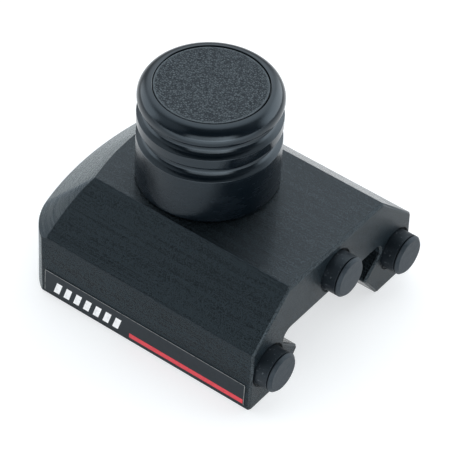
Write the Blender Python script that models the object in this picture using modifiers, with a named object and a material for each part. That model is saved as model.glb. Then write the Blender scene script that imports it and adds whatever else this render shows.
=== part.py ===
"""Sliding pin stop for a 32 mm sail track, built as an assembly of separate pieces.

A black anodised block slides along the track on its pointed lips. A spring drives a steel pin down into the
track's holes. Pulling the knob lifts the pin, and a quarter turn parks the cross pin on top of the guide
housing. Three rubber bumpers meet the traveller car.

Frame: +X is the bumper end, Z is up, and the origin is at the middle of the whole part's footprint. Every
size below is in millimetres, and MM turns it into metres.
"""

import math

import bmesh
import bpy
from mathutils import Matrix, Vector

MM = 0.001
GAP = 0.35                  # between pieces that rest on each other
CLEAR = 0.3                 # between a pin or ring and the hole or groove that it sits in
OVERCUT = 1.0               # how far a cutter runs past the surface that it opens

# Block: section across the track
TOP_HALF = 16.35            # half width of the flat top
SHOULDER_HALF = 28.1        # half width at the foot of the sloping shoulder
FOOT_HALF = 28.5            # half width at the underside
BLOCK_HEIGHT = 27.2
SHOULDER_Z = 16.0
CORNER_R = 0.6              # small rounding of the section's outer corners

# Track channel
CEILING_Z = 14.65
CHANNEL_HALF = 17.3         # widest, where the head of the track runs
CHANNEL_CORNER_R = 2.2
LIP_TOP_Z = 11.9            # where the wall turns in towards the lip
LIP_HALF = 12.25            # tip of the lip
LIP_Z = 6.9
LIP_R = 0.8
MOUTH_HALF = 17.2           # at the underside

# Block: plan
LENGTH = 69.4               # back of the block to the faces of the bumpers
BACK_X = -LENGTH / 2
BUMPER_PROUD = 4.05
FRONT_X = LENGTH / 2 - BUMPER_PROUD
BOW_R = 77.0                # the back end's long curve
BOW_CORNER_R = 15.9
BOW_CORNER_Y = 15.0
BEVEL_Z = 15.25             # the back end is upright below this, and bevelled above it
BEVEL_RUN = 0.973           # how far the bevel leans in for each millimetre of height
FRONT_BREAK = 0.9           # chamfer along the top front edge, half of it along the rest

# Knob
KNOB_X = BACK_X + 31.2      # axis of the knob and pin
KNOB_R = 15.5
KNOB_TOP_Z = 52.1
RIM_R = 3.1                 # rounded rim
GROOVE_Z = (46.66, 40.61)   # middles of the two finger grooves
GROOVE_HALF = 1.89
GROOVE_DEPTH = 1.7
SKIRT_BORE_R = 11.9
SKIRT_ROOF_Z = 45.9
SKIRT_EDGE = 0.3
INSERT_R = 12.05
INSERT_SEAT_R = 12.4
INSERT_SEAT_Z = 50.0
INSERT_THICK = 1.7
INSERT_EDGE = 0.15
SCREW_SEAT_R = 4.3
SCREW_SEAT_Z = 47.3

# Roof bore, housing and bush
BUSH_BORE_R = 7.0
SHOULDER_BORE_R = 10.2
BORE_STEP_Z = 18.0
BUSH_FLANGE = 1.65
HOUSING_STEM_R = SHOULDER_BORE_R - GAP
HOUSING_FLANGE_R = 11.4
HOUSING_FLANGE = 2.0
HOUSING_BARREL_R = 10.2
HOUSING_TOP_Z = 44.5
HOUSING_BORE_R = 8.2
HOUSING_EDGE = 0.5
PLATE = 2.4                 # the plate on top of the housing, with the cross pin's slot
PLATE_SPARE = 0.4           # room round the stem and the cross pin in the plate

# Pin
PIN_R = 5.0
PIN_TIP_Z = 5.6
PIN_TIP_CHAMFER = 1.0
STEM_R = 3.2
STEM_FOOT_Z = 24.6
STEM_EDGE = 0.4
RING_Z = 20.35              # underside of the retaining ring
RING_THICK = 1.0
RING_R = 6.9
RING_GROOVE_R = 4.2
RING_OPENING = 3.2
WASHER_THICK = 1.0
WASHER_R = 7.8
CROSS_Z = 36.55
CROSS_R = 1.25
CROSS_HALF = 5.5
CROSS_EDGE = 0.25

# Knob screw and its washer
SCREW_R = 2.0
SCREW_LENGTH = 9.0
SCREW_POINT = 0.4
SCREW_HEAD_R = 3.6
SCREW_HEAD = 1.4
SCREW_HEAD_EDGE = 0.2
SOCKET_R = 1.45             # to the corners of the hexagon
SOCKET_DEPTH = 0.9
THREAD_DEPTH = 6.4
LOCK_WASHER_R = 3.7
LOCK_WASHER_THICK = 0.5
LOCK_WASHER_OPENING = 0.6

# Spring
SPRING_R = 6.6
WIRE_R = 0.6
END_PITCH = 1.55
SPRING_TURNS = 6

# Bumpers
BUMPER_R = 4.6
BUMPER_RIM = 0.6
BUMPER_NECK_R = 3.9
BUMPER_SLIT = (2.95, 3.2)   # the narrow groove behind the cap
BUMPER_SEAT_R = 5.05
BUMPER_SEAT_DEPTH = 0.9
BUMPER_STEM_R = 2.2
BUMPER_STEM_LENGTH = 6.5
BUMPER_HOLE_DEPTH = 7.5
BARB_LENGTH = 2.0
BARB_STEP = 0.3             # the stem is this much slimmer behind its barb
BARB_TIP_R = 1.4
BUMPER_PLACES = {"bumper_right": (-22.65, 9.5), "bumper_middle": (0.0, 19.95), "bumper_left": (22.65, 9.5)}

# Labels
LABEL_BACK_X = KNOB_X - 21.2
LABEL_LENGTH = 54.0
LABEL_LOW_Z = 1.1
LABEL_HEIGHT = 5.9
LABEL_THICK = 0.25
LABEL_SEAT = 0.35

WELD = 0.000001             # metres
ROUND = 40                  # flats round a turned piece
FINE = 24                   # flats round a small one
CROSS_FLATS = 16            # flats round the cross pin and its hole

MATERIALS = {
    "anodised_block": ((0.030, 0.034, 0.038), 0.45, 0.6),
    "black_knob": ((0.016, 0.018, 0.020), 0.22, 0.2),
    "grained_insert": ((0.035, 0.038, 0.041), 0.75, 0.0),
    "bumper_rubber": ((0.040, 0.044, 0.048), 0.70, 0.0),
    "side_label": ((0.030, 0.032, 0.035), 0.40, 0.0),
    "stainless_steel": ((0.62, 0.62, 0.60), 0.28, 1.0),
    "spring_steel": ((0.50, 0.50, 0.50), 0.32, 1.0),
    "housing_aluminium": ((0.040, 0.042, 0.045), 0.40, 0.7),
    "bush_plastic": ((0.75, 0.74, 0.70), 0.50, 0.0),
}


# ---------------------------------------------------------------- scene

def clear_scene():
    for obj in list(bpy.data.objects):
        bpy.data.objects.remove(obj, do_unlink=True)


def new_collection(name):
    collection = bpy.data.collections.new(name)
    bpy.context.scene.collection.children.link(collection)
    return collection


def new_material(name):
    colour, roughness, metallic = MATERIALS[name]
    material = bpy.data.materials.new(name)
    material.use_nodes = True
    shader = material.node_tree.nodes["Principled BSDF"]
    shader.inputs["Base Color"].default_value = (*colour, 1.0)
    shader.inputs["Roughness"].default_value = roughness
    shader.inputs["Metallic"].default_value = metallic
    return material


def finish_part(obj, material_name):
    """Put an object among the parts, with its material and smooth round faces."""
    PARTS.objects.link(obj)
    obj.data.materials.clear()
    obj.data.materials.append(new_material(material_name))
    obj.data.shade_smooth()
    obj.data.set_sharp_from_angle(angle=math.radians(35))
    return obj


def make_cutter(obj):
    CUTTERS.objects.link(obj)
    obj.hide_render = True
    obj.display_type = "WIRE"
    return obj


# ---------------------------------------------------------------- shapes

def arc(centre, radius, start, end, steps):
    """Points on an arc, with angles in degrees."""
    points = []
    for i in range(steps + 1):
        angle = math.radians(start + (end - start) * i / steps)
        points.append((centre[0] + radius * math.cos(angle), centre[1] + radius * math.sin(angle)))
    return points


def mesh_object(name, mesh, matrix=None):
    obj = bpy.data.objects.new(name, mesh)
    if matrix is not None:
        obj.matrix_world = matrix
    return obj


def turned(name, profile, flats=ROUND, closed=False):
    """A solid turned about Z. The profile holds (radius, z), down the outer side."""
    mesh = bpy.data.meshes.new(name)
    points = [(r * MM, 0.0, z * MM) for r, z in profile]
    edges = [(i, i + 1) for i in range(len(points) - 1)]
    if closed:
        edges.append((len(points) - 1, 0))
    mesh.from_pydata(points, edges, [])
    obj = mesh_object(name, mesh)
    screw = obj.modifiers.new("Turn", "SCREW")
    screw.axis = "Z"
    screw.angle = math.tau
    screw.steps = flats
    screw.render_steps = flats
    screw.use_merge_vertices = True
    screw.merge_threshold = WELD
    screw.use_normal_calculate = False
    return obj


def bar(name, radius, length, flats=FINE):
    """A round bar along Z, standing on z = 0."""
    return turned(name, [(0.0, length), (radius, length), (radius, 0.0), (0.0, 0.0)], flats)


def box(name, size, centre, matrix=None):
    mesh = bpy.data.meshes.new(name)
    bm = bmesh.new()
    bmesh.ops.create_cube(bm, size=1.0)
    bmesh.ops.scale(bm, vec=Vector(size) * MM, verts=bm.verts)
    bmesh.ops.translate(bm, vec=Vector(centre) * MM, verts=bm.verts)
    bm.to_mesh(mesh)
    bm.free()
    return mesh_object(name, mesh, matrix)


def extruded(name, outline, length):
    """A flat outline, extruded along the curve's Z by its whole length, as a clean mesh."""
    curve = bpy.data.curves.new(name + "_outline", "CURVE")
    curve.dimensions = "2D"
    curve.fill_mode = "BOTH"
    curve.extrude = length * MM / 2
    spline = curve.splines.new("POLY")
    spline.points.add(len(outline) - 1)
    for point, (x, y) in zip(spline.points, outline):
        point.co = (x * MM, y * MM, 0.0, 1.0)
    spline.use_cyclic_u = True
    return curve_to_mesh(name, curve)


def curve_to_mesh(name, curve):
    """Turn a curve into one closed mesh and drop the curve."""
    guide = bpy.data.objects.new(name + "_guide", curve)
    bpy.context.scene.collection.objects.link(guide)
    bpy.context.view_layer.update()
    evaluated = guide.evaluated_get(bpy.context.evaluated_depsgraph_get())
    mesh = bpy.data.meshes.new_from_object(evaluated)
    bpy.data.objects.remove(guide, do_unlink=True)
    bm = bmesh.new()
    bm.from_mesh(mesh)
    bmesh.ops.remove_doubles(bm, verts=bm.verts, dist=WELD)
    bmesh.ops.dissolve_limit(bm, angle_limit=math.radians(0.05), verts=bm.verts, edges=bm.edges)
    bmesh.ops.recalc_face_normals(bm, faces=bm.faces)
    bm.to_mesh(mesh)
    bm.free()
    return mesh_object(name, mesh)


def combine(obj, other, operation):
    boolean = obj.modifiers.new(other.name, "BOOLEAN")
    boolean.operation = operation
    boolean.solver = "EXACT"
    boolean.object = make_cutter(other)


def stand(obj, x, y=0.0, z=0.0):
    obj.location = Vector((x, y, z)) * MM
    return obj


def aim_along_x(obj, x, y, z):
    """Lay a piece that was turned about Z along +X, from a point."""
    obj.matrix_world = Matrix.Translation(Vector((x, y, z)) * MM) @ Matrix.Rotation(math.pi / 2, 4, "Y")
    return obj


# ---------------------------------------------------------------- block

def section_half():
    """Right half of the block's section as (y, z), from the top's middle round to the ceiling's middle."""
    lip_angle = math.degrees(math.atan2(LIP_TOP_Z - LIP_Z, CHANNEL_HALF - LIP_HALF))
    mouth_angle = math.degrees(math.atan2(LIP_Z, MOUTH_HALF - LIP_HALF))
    tip = (LIP_HALF + LIP_R, LIP_Z)
    corner = (CHANNEL_HALF - CHANNEL_CORNER_R, CEILING_Z - CHANNEL_CORNER_R)
    points = [(TOP_HALF, BLOCK_HEIGHT), (SHOULDER_HALF, SHOULDER_Z)]
    points += arc((FOOT_HALF - CORNER_R, CORNER_R), CORNER_R, 0, -90, 3)
    points.append((MOUTH_HALF, 0.0))
    points += arc(tip, LIP_R, 270 - mouth_angle, 90 + lip_angle, 4)
    points.append((CHANNEL_HALF, LIP_TOP_Z))
    points += arc(corner, CHANNEL_CORNER_R, 0, 90, 5)
    return points


def block_section():
    right = section_half()
    left = [(-y, z) for y, z in reversed(right)]
    return right + left


def plan_ring(inset, z):
    """The block's plan outline at one height, moved in from the back end's foot by the inset."""
    bow = BOW_R - inset
    corner = BOW_CORNER_R - inset
    bow_x = BACK_X + BOW_R
    corner_x = bow_x - math.sqrt((BOW_R - BOW_CORNER_R) ** 2 - BOW_CORNER_Y ** 2)
    turn = math.degrees(math.atan2(BOW_CORNER_Y, bow_x - corner_x))
    points = arc((corner_x, BOW_CORNER_Y), corner, 90, 180 - turn, 8)
    points += arc((bow_x, 0.0), bow, 180 - turn, 180 + turn, 12)[1:-1]
    points += arc((corner_x, -BOW_CORNER_Y), corner, 180 + turn, 270, 8)
    side = BOW_CORNER_Y + corner
    points += [(FRONT_X, -side), (FRONT_X, side)]
    return [Vector((x, y, z)) * MM for x, y in points]


def plan_blank():
    """Loft that shapes the block's bowed and bevelled back end."""
    top_z = BLOCK_HEIGHT + OVERCUT
    levels = [(0.0, -OVERCUT), (0.0, BEVEL_Z), ((top_z - BEVEL_Z) * BEVEL_RUN, top_z)]
    bm = bmesh.new()
    rings = [[bm.verts.new(point) for point in plan_ring(inset, z)] for inset, z in levels]
    for low, high in zip(rings, rings[1:]):
        for i in range(len(low)):
            j = (i + 1) % len(low)
            bm.faces.new((low[i], low[j], high[j], high[i]))
    bm.faces.new(rings[0])
    bm.faces.new(rings[-1])
    bmesh.ops.recalc_face_normals(bm, faces=bm.faces)
    mesh = bpy.data.meshes.new("plan_blank")
    bm.to_mesh(mesh)
    bm.free()
    return mesh_object("plan_blank", mesh)


def side_plane(side):
    """Places a piece on a side face: local X along the block, local Y up the face, local Z outwards."""
    lean = math.atan2(FOOT_HALF - SHOULDER_HALF, SHOULDER_Z)
    foot = Vector((0.0, side * FOOT_HALF * MM, 0.0))
    outward = Vector((0.0, side * math.cos(lean), math.sin(lean)))
    up = Vector((0.0, -side * math.sin(lean), math.cos(lean)))
    along = up.cross(outward)
    axes = Matrix((along, up, outward)).transposed().to_4x4()
    return Matrix.Translation(foot) @ axes, along.x


def label_box(name, side, margin, low, high):
    """A thin plate on a side face, between two depths measured outwards from the face."""
    plane, direction = side_plane(side)
    middle = (LABEL_BACK_X + LABEL_LENGTH / 2) * direction
    size = (LABEL_LENGTH + 2 * margin, LABEL_HEIGHT + 2 * margin, high - low)
    centre = (middle, LABEL_LOW_Z + LABEL_HEIGHT / 2, (low + high) / 2)
    return box(name, size, centre, plane)


def bumper_seat(name, y, z):
    """Cutter for a bumper's shallow seat and the blind hole for its stem."""
    stem = BUMPER_STEM_R + GAP
    profile = [(0.0, OVERCUT), (BUMPER_SEAT_R, OVERCUT), (BUMPER_SEAT_R, -BUMPER_SEAT_DEPTH),
               (stem, -BUMPER_SEAT_DEPTH), (stem, -BUMPER_HOLE_DEPTH), (0.0, -BUMPER_HOLE_DEPTH)]
    return aim_along_x(turned(name, profile, FINE), FRONT_X, y, z)


def roof_bore():
    """Cutter for the stepped hole through the roof that takes the guide housing and the pin's bush."""
    high = BLOCK_HEIGHT + OVERCUT
    low = CEILING_Z - OVERCUT
    profile = [(0.0, high), (SHOULDER_BORE_R, high), (SHOULDER_BORE_R, BORE_STEP_Z),
               (BUSH_BORE_R, BORE_STEP_Z), (BUSH_BORE_R, low), (0.0, low)]
    return stand(turned("roof_bore", profile), KNOB_X)


def mark_front_break(mesh):
    """Weights for the front outline's chamfer: whole along the top, half elsewhere."""
    near = 0.01 * MM
    front = max(v.co.z for v in mesh.vertices)
    weights = mesh.attributes.new("bevel_weight_edge", "FLOAT", "EDGE")
    for edge in mesh.edges:
        ends = [mesh.vertices[i].co for i in edge.vertices]
        if all(abs(end.z - front) < near for end in ends):
            is_top = all(abs(end.y - BLOCK_HEIGHT * MM) < near for end in ends)
            weights.data[edge.index].value = 1.0 if is_top else 0.5


def make_body():
    length = FRONT_X - BACK_X + 2 * OVERCUT
    body = extruded("body", block_section(), length)
    mark_front_break(body.data)
    turn = Matrix(((0, 0, 1, 0), (1, 0, 0, 0), (0, 1, 0, 0), (0, 0, 0, 1)))
    body.matrix_world = Matrix.Translation(((FRONT_X - length / 2) * MM, 0.0, 0.0)) @ turn
    bevel = body.modifiers.new("Front break", "BEVEL")
    bevel.limit_method = "WEIGHT"
    bevel.width = FRONT_BREAK * MM
    bevel.segments = 1
    combine(body, plan_blank(), "INTERSECT")
    combine(body, roof_bore(), "DIFFERENCE")
    for name, (y, z) in BUMPER_PLACES.items():
        combine(body, bumper_seat(name + "_seat", y, z), "DIFFERENCE")
    for name, side in (("label_right_seat", -1), ("label_left_seat", 1)):
        combine(body, label_box(name, side, GAP, -LABEL_SEAT, OVERCUT), "DIFFERENCE")
    return finish_part(body, "anodised_block")


def make_labels():
    low = GAP - LABEL_SEAT
    for name, side in (("side_label_right", -1), ("side_label_left", 1)):
        finish_part(label_box(name, side, 0.0, low, low + LABEL_THICK), "side_label")


# ---------------------------------------------------------------- bumpers

def bumper_profile():
    slit_low, slit_high = BUMPER_SLIT
    back = -BUMPER_SEAT_DEPTH + GAP
    barb_z = BARB_LENGTH - BUMPER_STEM_LENGTH
    slim = BUMPER_STEM_R - BARB_STEP
    return [(0.0, BUMPER_PROUD), (BUMPER_R - BUMPER_RIM, BUMPER_PROUD),
            (BUMPER_R, BUMPER_PROUD - BUMPER_RIM), (BUMPER_R, slit_high),
            (BUMPER_NECK_R, slit_high), (BUMPER_NECK_R, slit_low),
            (BUMPER_R, slit_low), (BUMPER_R, back), (slim, back), (slim, barb_z),
            (BUMPER_STEM_R, barb_z), (BARB_TIP_R, -BUMPER_STEM_LENGTH), (0.0, -BUMPER_STEM_LENGTH)]


def make_bumpers():
    for name, (y, z) in BUMPER_PLACES.items():
        bumper = turned(name, bumper_profile(), FINE)
        finish_part(aim_along_x(bumper, FRONT_X, y, z), "bumper_rubber")


# ---------------------------------------------------------------- knob

def groove(middle_z):
    """A rounded finger groove in the knob's side, from its upper edge to its lower one."""
    radius = (GROOVE_HALF ** 2 + GROOVE_DEPTH ** 2) / (2 * GROOVE_DEPTH)
    centre = (KNOB_R - GROOVE_DEPTH + radius, middle_z)
    spread = math.degrees(math.asin(GROOVE_HALF / radius))
    return arc(centre, radius, 180 - spread, 180 + spread, 6)


def make_knob():
    shank = SCREW_R + GAP
    skirt_z = BLOCK_HEIGHT + GAP
    profile = [(INSERT_SEAT_R, KNOB_TOP_Z)]
    profile += arc((KNOB_R - RIM_R, KNOB_TOP_Z - RIM_R), RIM_R, 84, 0, 5)
    for middle_z in GROOVE_Z:
        profile += groove(middle_z)
    profile += [(KNOB_R, skirt_z + SKIRT_EDGE), (KNOB_R - SKIRT_EDGE, skirt_z), (SKIRT_BORE_R, skirt_z),
                (SKIRT_BORE_R, SKIRT_ROOF_Z), (shank, SKIRT_ROOF_Z), (shank, SCREW_SEAT_Z),
                (SCREW_SEAT_R, SCREW_SEAT_Z), (SCREW_SEAT_R, INSERT_SEAT_Z), (INSERT_SEAT_R, INSERT_SEAT_Z)]
    knob = turned("knob", profile, closed=True)
    return finish_part(stand(knob, KNOB_X), "black_knob")


def make_knob_insert():
    low = INSERT_SEAT_Z + GAP
    high = low + INSERT_THICK
    profile = [(0.0, high), (INSERT_R - INSERT_EDGE, high), (INSERT_R, high - INSERT_EDGE),
               (INSERT_R, low), (0.0, low)]
    return finish_part(stand(turned("knob_insert", profile), KNOB_X), "grained_insert")


def make_knob_screw():
    under_head = SCREW_SEAT_Z + 2 * GAP + LOCK_WASHER_THICK
    head_top = under_head + SCREW_HEAD
    end = under_head - SCREW_LENGTH
    profile = [(0.0, head_top), (SCREW_HEAD_R - SCREW_HEAD_EDGE, head_top),
               (SCREW_HEAD_R, head_top - SCREW_HEAD_EDGE), (SCREW_HEAD_R, under_head),
               (SCREW_R, under_head), (SCREW_R, end + SCREW_POINT), (SCREW_R - SCREW_POINT, end), (0.0, end)]
    screw = stand(turned("knob_screw", profile, FINE), KNOB_X)
    socket = bar("screw_socket", SOCKET_R, SOCKET_DEPTH + OVERCUT, flats=6)
    combine(screw, stand(socket, KNOB_X, z=head_top - SOCKET_DEPTH), "DIFFERENCE")
    return finish_part(screw, "stainless_steel")


def split_ring(name, inner, outer, low, thick, opening):
    """A flat ring with a gap cut through it on the +X side."""
    profile = [(inner, low + thick), (outer, low + thick), (outer, low), (inner, low)]
    ring = stand(turned(name, profile, FINE, closed=True), KNOB_X)
    size = (outer - inner + OVERCUT, opening, thick + 2 * OVERCUT)
    cut = box(name + "_split", size, (KNOB_X + (inner + outer) / 2, 0.0, low + thick / 2))
    combine(ring, cut, "DIFFERENCE")
    return ring


def make_lock_washer():
    ring = split_ring("lock_washer", SCREW_R + GAP, LOCK_WASHER_R, SCREW_SEAT_Z + GAP, LOCK_WASHER_THICK,
                      LOCK_WASHER_OPENING)
    return finish_part(ring, "stainless_steel")


# ---------------------------------------------------------------- pin and its guide

def make_plunger_pin():
    ring_low = RING_Z - GAP
    ring_high = RING_Z + RING_THICK + GAP
    stem_top = SKIRT_ROOF_Z - GAP
    profile = [(0.0, stem_top), (STEM_R - STEM_EDGE, stem_top), (STEM_R, stem_top - STEM_EDGE),
               (STEM_R, STEM_FOOT_Z), (PIN_R, STEM_FOOT_Z), (PIN_R, ring_high), (RING_GROOVE_R, ring_high),
               (RING_GROOVE_R, ring_low), (PIN_R, ring_low), (PIN_R, PIN_TIP_Z + PIN_TIP_CHAMFER),
               (PIN_R - PIN_TIP_CHAMFER, PIN_TIP_Z), (0.0, PIN_TIP_Z)]
    pin = stand(turned("plunger_pin", profile), KNOB_X)
    tapped = bar("stem_thread", SCREW_R + GAP, THREAD_DEPTH + OVERCUT)
    combine(pin, stand(tapped, KNOB_X, z=stem_top - THREAD_DEPTH), "DIFFERENCE")
    hole_half = STEM_R + OVERCUT
    cross_hole = bar("cross_hole", CROSS_R + CLEAR, 2 * hole_half, CROSS_FLATS)
    cross_hole.matrix_world = cross_axis(hole_half)
    combine(pin, cross_hole, "DIFFERENCE")
    return finish_part(pin, "stainless_steel")


def cross_axis(half):
    """Lays a bar that stands on Z along Y, centred on the stem."""
    place = Vector((KNOB_X, half, CROSS_Z)) * MM
    return Matrix.Translation(place) @ Matrix.Rotation(math.pi / 2, 4, "X")


def make_cross_pin():
    length = 2 * CROSS_HALF
    profile = [(0.0, length), (CROSS_R - CROSS_EDGE, length), (CROSS_R, length - CROSS_EDGE),
               (CROSS_R, CROSS_EDGE), (CROSS_R - CROSS_EDGE, 0.0), (0.0, 0.0)]
    pin = turned("cross_pin", profile, CROSS_FLATS)
    pin.matrix_world = cross_axis(CROSS_HALF)
    return finish_part(pin, "stainless_steel")


def make_retaining_ring():
    ring = split_ring("retaining_ring", RING_GROOVE_R + CLEAR, RING_R, RING_Z, RING_THICK, RING_OPENING)
    return finish_part(ring, "spring_steel")


def washer_low():
    return RING_Z + RING_THICK + GAP


def make_thrust_washer():
    low = washer_low()
    high = low + WASHER_THICK
    profile = [(PIN_R + GAP, high), (WASHER_R, high), (WASHER_R, low), (PIN_R + GAP, low)]
    washer = turned("thrust_washer", profile, closed=True)
    return finish_part(stand(washer, KNOB_X), "bush_plastic")


def make_spring():
    """A coil with close end turns, from the washer up to the housing's plate."""
    foot = washer_low() + WASHER_THICK + GAP + WIRE_R
    head = HOUSING_TOP_Z - PLATE - GAP - WIRE_R
    open_turns = SPRING_TURNS - 2
    open_pitch = (head - foot - 2 * END_PITCH) / open_turns
    steps = 20
    curve = bpy.data.curves.new("spring_path", "CURVE")
    curve.dimensions = "3D"
    curve.bevel_depth = WIRE_R * MM
    curve.bevel_resolution = 2
    curve.use_fill_caps = True
    spline = curve.splines.new("POLY")
    count = SPRING_TURNS * steps
    spline.points.add(count)
    for i in range(count + 1):
        turns = i / steps
        rise = END_PITCH * min(turns, 1.0)
        rise += open_pitch * min(max(turns - 1.0, 0.0), open_turns)
        rise += END_PITCH * max(turns - 1.0 - open_turns, 0.0)
        angle = turns * math.tau
        place = (SPRING_R * math.cos(angle), SPRING_R * math.sin(angle), foot + rise)
        spline.points[i].co = (*[value * MM for value in place], 1.0)
    spring = curve_to_mesh("spring", curve)
    return finish_part(stand(spring, KNOB_X), "spring_steel")


def make_guide_housing():
    stem_low = BORE_STEP_Z + GAP + BUSH_FLANGE + GAP
    flange_low = BLOCK_HEIGHT + GAP
    flange_high = flange_low + HOUSING_FLANGE
    hole = STEM_R + PLATE_SPARE
    plate_low = HOUSING_TOP_Z - PLATE
    profile = [(hole, HOUSING_TOP_Z), (HOUSING_BARREL_R - HOUSING_EDGE, HOUSING_TOP_Z),
               (HOUSING_BARREL_R, HOUSING_TOP_Z - HOUSING_EDGE), (HOUSING_BARREL_R, flange_high),
               (HOUSING_FLANGE_R, flange_high), (HOUSING_FLANGE_R, flange_low),
               (HOUSING_STEM_R, flange_low), (HOUSING_STEM_R, stem_low), (HOUSING_BORE_R, stem_low),
               (HOUSING_BORE_R, plate_low), (hole, plate_low)]
    housing = stand(turned("guide_housing", profile, closed=True), KNOB_X)
    slot_size = (2 * (CROSS_R + PLATE_SPARE), 2 * (CROSS_HALF + PLATE_SPARE), PLATE + 2 * OVERCUT)
    slot = box("cross_slot", slot_size, (KNOB_X, 0.0, HOUSING_TOP_Z - PLATE / 2))
    combine(housing, slot, "DIFFERENCE")
    return finish_part(housing, "housing_aluminium")


def make_pin_bush():
    flange_low = BORE_STEP_Z + GAP
    flange_high = flange_low + BUSH_FLANGE
    foot = CEILING_Z + CLEAR
    outer = BUSH_BORE_R - GAP
    inner = PIN_R + GAP
    profile = [(inner, flange_high), (SHOULDER_BORE_R - 2 * GAP, flange_high),
               (SHOULDER_BORE_R - 2 * GAP, flange_low), (outer, flange_low), (outer, foot), (inner, foot)]
    bush = turned("pin_bush", profile, closed=True)
    return finish_part(stand(bush, KNOB_X), "bush_plastic")


clear_scene()
PARTS = new_collection("track_pin_stop")
CUTTERS = new_collection("cutters")
make_body()
make_labels()
make_bumpers()
make_knob()
make_knob_insert()
make_knob_screw()
make_lock_washer()
make_plunger_pin()
make_cross_pin()
make_retaining_ring()
make_thrust_washer()
make_spring()
make_guide_housing()
make_pin_bush()
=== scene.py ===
"""Looks of the track pin stop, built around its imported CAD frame.

The visible pieces are finer versions of the CAD pieces: the same sizes, with rounded edges, grain and
procedural materials. The object's and the camera's lengths are in millimetres, and MM turns them into
metres. The studio's lengths are in metres. The object stands with the underside of its feet at z = 0,
and its track runs along X.
"""

import math

import bmesh
import bpy
from mathutils import Matrix, Vector, noise


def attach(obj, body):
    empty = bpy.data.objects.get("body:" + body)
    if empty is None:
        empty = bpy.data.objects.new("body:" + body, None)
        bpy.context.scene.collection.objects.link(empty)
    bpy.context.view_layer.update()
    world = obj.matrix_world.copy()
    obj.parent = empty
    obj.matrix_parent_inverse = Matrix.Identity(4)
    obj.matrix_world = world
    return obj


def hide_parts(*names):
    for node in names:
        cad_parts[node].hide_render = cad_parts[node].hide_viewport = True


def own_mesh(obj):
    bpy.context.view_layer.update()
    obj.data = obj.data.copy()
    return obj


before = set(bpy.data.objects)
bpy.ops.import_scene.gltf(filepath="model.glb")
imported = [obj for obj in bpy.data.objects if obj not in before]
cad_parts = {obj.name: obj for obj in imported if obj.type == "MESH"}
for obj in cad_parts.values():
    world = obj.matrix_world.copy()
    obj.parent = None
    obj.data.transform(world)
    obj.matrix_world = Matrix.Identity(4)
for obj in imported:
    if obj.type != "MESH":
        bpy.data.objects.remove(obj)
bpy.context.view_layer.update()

MM = 0.001

# Flats round the turned pieces
KNOB_FLATS = 192
HOUSING_FLATS = 128
PIN_FLATS = 96                  # also the bush, the bumpers and the roof's bore
SEAT_FLATS = 64

# Block: section across the track
TOP_HALF = 16.35
SHOULDER_HALF = 28.1
FOOT_HALF = 28.5
BLOCK_HEIGHT = 27.2
SHOULDER_Z = 16.0
CORNER_R = 0.6
CEILING_Z = 14.65
CHANNEL_HALF = 17.3
CHANNEL_CORNER_R = 2.2
LIP_TOP_Z = 11.9
LIP_HALF = 12.25
LIP_Z = 6.9
LIP_R = 0.8
MOUTH_HALF = 17.2

# Block: plan
LENGTH = 69.4
BACK_X = -LENGTH / 2
BUMPER_PROUD = 4.05
FRONT_X = LENGTH / 2 - BUMPER_PROUD
BOW_R = 77.0
BOW_CORNER_R = 15.9
BOW_CORNER_Y = 15.0
BEVEL_Z = 15.25
BEVEL_RUN = 0.973
FRONT_BREAK = 0.9
EDGE_R = 0.14

# Block: the bore through its roof, and how its edges are found
BORE_R = 10.2
BORE_STEP_Z = 18.0
BUSH_SEAT_R = 7.0
BORE_LOW_Z = 13.0               # the end of the cut, below the ceiling
CUT_SPARE = 1.0                 # how far a cut reaches past the block
NEAR = 0.01                     # points this close to a plane are on it
MERGE = 0.09                    # points this close are joined before the edges are rounded
BORE_SPARE = 0.3                # edges this close outside the bore belong to it
SHARP_ANGLE = 20.0              # an edge that turns by more is rounded, in degrees

# Knob
KNOB_X = BACK_X + 31.2
KNOB_R = 15.5
KNOB_TOP_Z = 52.1
RIM_R = 3.1
GROOVE_Z = (46.66, 40.61)
GROOVE_HALF = 1.89
GROOVE_DEPTH = 1.7
GROOVE_LIP_R = 0.18
RIM_START = 86.0                # where the rim's round begins, in degrees up from level
SKIRT_Z = 27.55
SKIRT_EDGE_R = 0.3
SKIRT_BORE_R = 11.9
SKIRT_ROOF_Z = 45.9
SHANK_R = 2.35
SCREW_SEAT_R = 4.3
SCREW_SEAT_Z = 47.3
INSERT_SEAT_R = 12.4
INSERT_SEAT_Z = 50.0
INSERT_SEAT_EDGE = (0.12, 0.1)
INSERT_R = 12.2
INSERT_SHIFT = (-0.06, -0.02)
INSERT_LOW_Z = 50.35
INSERT_TOP_Z = 52.05
INSERT_STEPS = 210              # faces across the grained top
INSERT_BORDER = 0.2             # plain border round the grain
INSERT_RIM = ((0.05, 0.12), (0.0, 0.25))    # the rounded rim: in from the side, down from the top
GRAIN_DEPTH = 0.14
GRAIN_SIZE = 0.46
GRAIN_SLOPE = 1.8               # how fast a grain rises from the valley round it
GRAIN_FADE = 0.5                # width over which the grain fades out at its border
GRAIN_LEVEL = 0.75              # a grain's usual height, as a part of the depth
GRAIN_SWELLS = ((0.45, 0.12), (1.9, 0.25))  # slow changes in the grains' height: rate and size

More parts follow.
